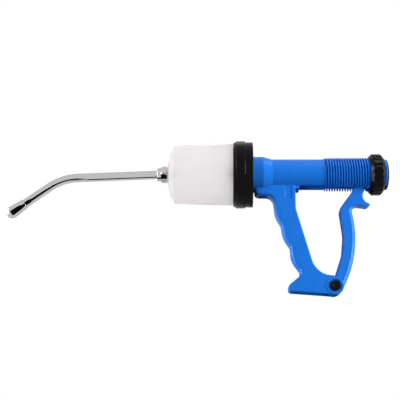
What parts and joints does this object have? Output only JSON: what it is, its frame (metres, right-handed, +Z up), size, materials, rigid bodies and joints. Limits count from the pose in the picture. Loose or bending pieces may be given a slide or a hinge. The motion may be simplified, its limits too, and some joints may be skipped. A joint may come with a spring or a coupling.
{
  "type": "livestock drencher",
  "caption": "Hand-squeezed drenching gun: hooked metal nozzle, milky dosing barrel, black collar, blue finger grip, palm lever on a bottom pivot, sprung plunger and screw dose stop.",
  "frame": {"origin": "middle of the finger grip, on the part's mid plane", "axes": "+X along the barrel axis from the nozzle to the dose nut, +Z up from the grip to the barrel, +Y across the part"},
  "size_m": [0.4323, 0.0774, 0.1767],
  "materials": {
    "blue_plastic": "moulded, semi-gloss",
    "milky_plastic": "natural, translucent",
    "black_plastic": "moulded, satin",
    "dark_plastic": "moulded, satin",
    "nylon": "turned, natural",
    "rubber": "moulded",
    "stainless": "turned",
    "spring_wire": "drawn wire",
    "plated_metal": "polished plating"
  },
  "bodies": {
    "frame": {"body": "blue_plastic", "barrel": "milky_plastic", "barrel_gasket": "rubber", "rod_bush": "nylon", "spring_washer": "stainless", "return_spring": "spring_wire", "rear_plug": "black_plastic", "pivot_pin": "black_plastic", "pivot_cap": "black_plastic", "nozzle_gasket": "rubber"},
    "lever": {"lever": "blue_plastic"},
    "plunger": {"plunger_rod": "stainless", "yoke": "dark_plastic", "cross_pin": "stainless", "piston_front": "dark_plastic", "piston_seal": "rubber", "piston_back": "dark_plastic", "piston_washer": "stainless", "piston_nut": "stainless"},
    "dose_ring": {"friction_ring": "nylon"},
    "dose_nut": {"dose_nut": "black_plastic"},
    "collar": {"collar": "black_plastic"},
    "union_nut": {"union_nut": "plated_metal"},
    "nozzle": {"nozzle_tube": "plated_metal", "nozzle_tip": "plated_metal", "nozzle_ferrule": "plated_metal"}
  },
  "joints": [
    {"name": "lever_pivot", "type": "hinge", "parent": "frame", "child": "lever", "pos_m": [0.04263, 0, -0.05397], "axis": [0, -1, 0], "range_deg": [0, 27.78], "stiffness_Nm_per_rad": 8, "springref_deg": -14.32},
    {"name": "plunger_slide", "type": "slide", "parent": "frame", "child": "plunger", "axis": [-1, 0, 0], "range_m": [0, 0.064], "deforming": ["return_spring"]},
    {"name": "dose_travel", "type": "slide", "parent": "frame", "child": "dose_ring", "axis": [-1, 0, 0], "range_m": [-0.006, 0.0015]},
    {"name": "dose_turn", "type": "hinge", "parent": "dose_ring", "child": "dose_nut", "pos_m": [0.09553, 0, 0.07453], "axis": [-1, 0, 0], "range_deg": [-725, 185]},
    {"name": "collar_turn", "type": "hinge", "parent": "frame", "child": "collar", "pos_m": [-0.05537, 0, 0.07453], "axis": [-1, 0, 0], "continuous": true},
    {"name": "union_nut_turn", "type": "hinge", "parent": "frame", "child": "union_nut", "pos_m": [-0.14737, 0, 0.07453], "axis": [-1, 0, 0], "continuous": true},
    {"name": "nozzle_swivel", "type": "hinge", "parent": "frame", "child": "nozzle", "pos_m": [-0.14937, 0, 0.07453], "axis": [-1, 0, 0], "continuous": true}
  ],
  "couplings": [
    {"joint": "plunger_slide", "follows": "lever_pivot", "m_per_rad": 0.13198},
    {"joint": "dose_turn", "follows": "dose_travel", "rad_per_m": 2094.4}
  ]
}
